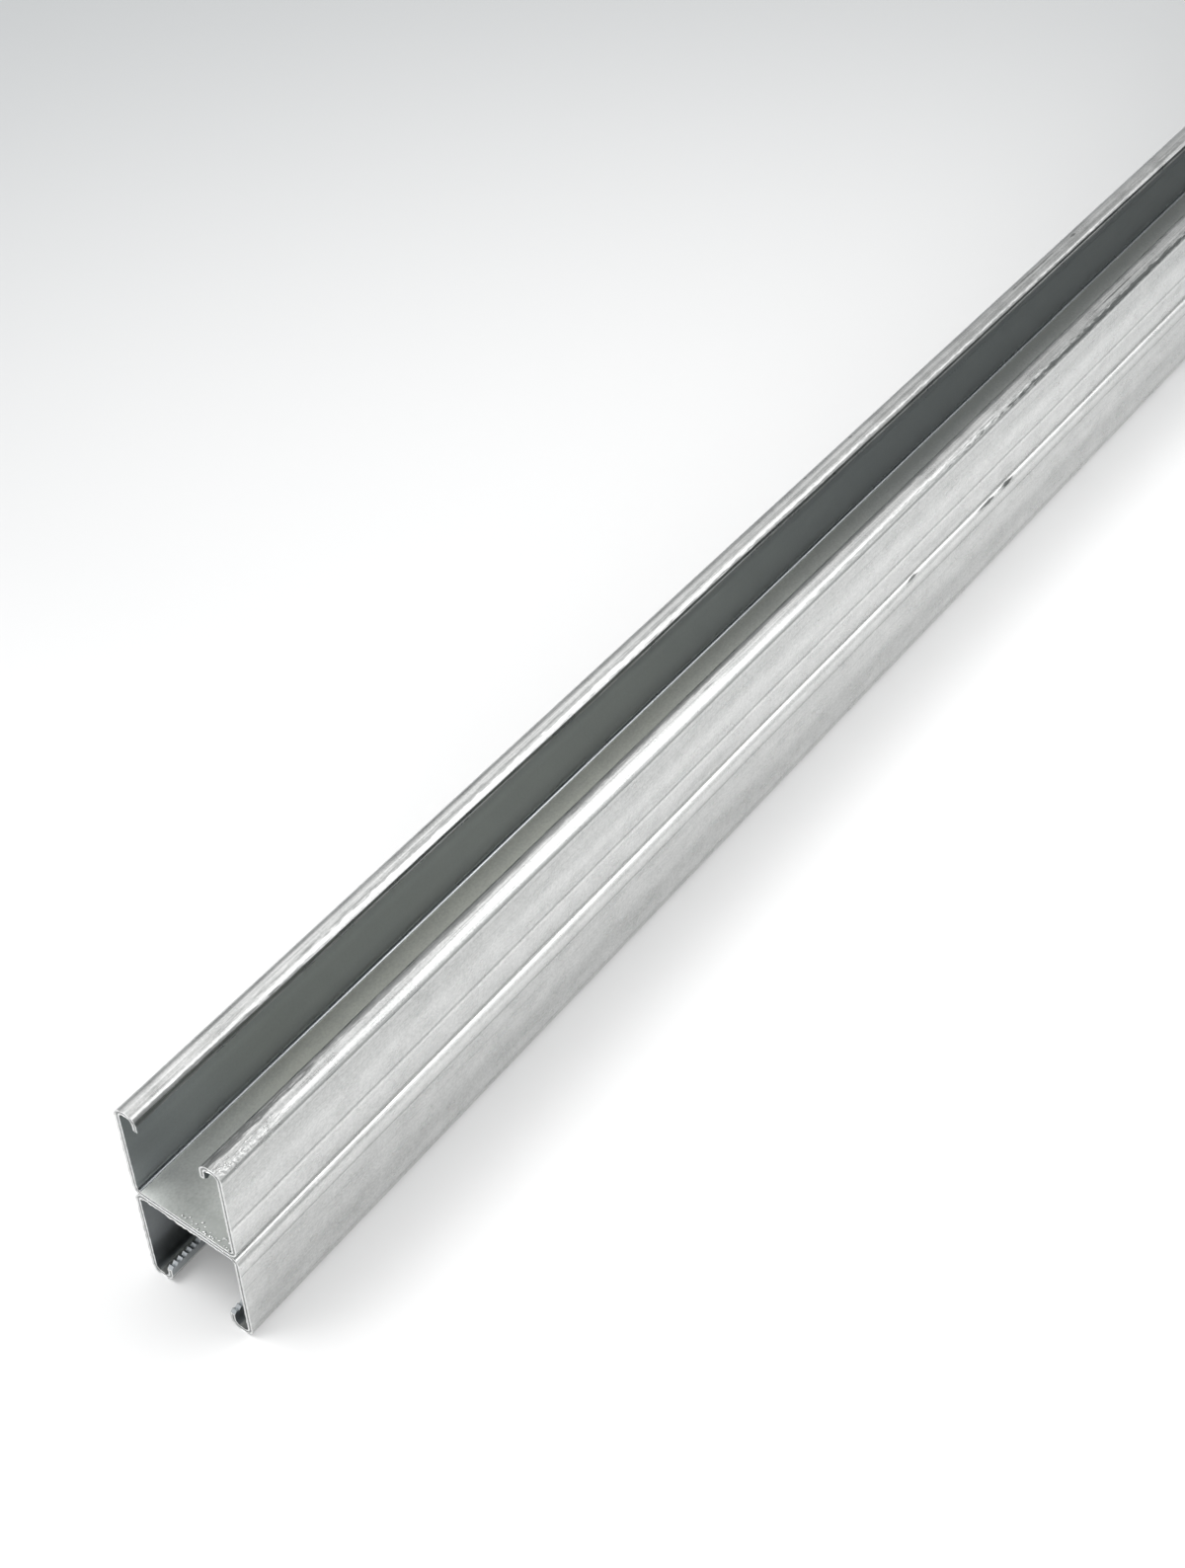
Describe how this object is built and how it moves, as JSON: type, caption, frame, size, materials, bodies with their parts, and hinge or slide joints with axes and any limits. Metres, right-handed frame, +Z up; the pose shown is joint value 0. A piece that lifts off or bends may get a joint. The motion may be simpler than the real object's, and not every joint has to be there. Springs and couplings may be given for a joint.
{
  "type": "back-to-back strut channel",
  "caption": "Back-to-back galvanised steel strut channel: a framing rail with an open slot and toothed, turned-in lips along its top and its underside.",
  "frame": {"origin": "middle of the length and of the width, on the level floor that the lower lips rest on", "axes": "+X across the width, +Y along the length towards the far end, +Z up out of the upper slot"},
  "size_m": [0.0412, 1, 0.0826],
  "materials": {
    "galvanised_steel": "satin hot-dip zinc with fine lengthwise rolling streaks and brighter bends"
  },
  "bodies": {
    "root": {"upper_channel": "galvanised_steel", "lower_channel": "galvanised_steel"}
  },
  "joints": []
}
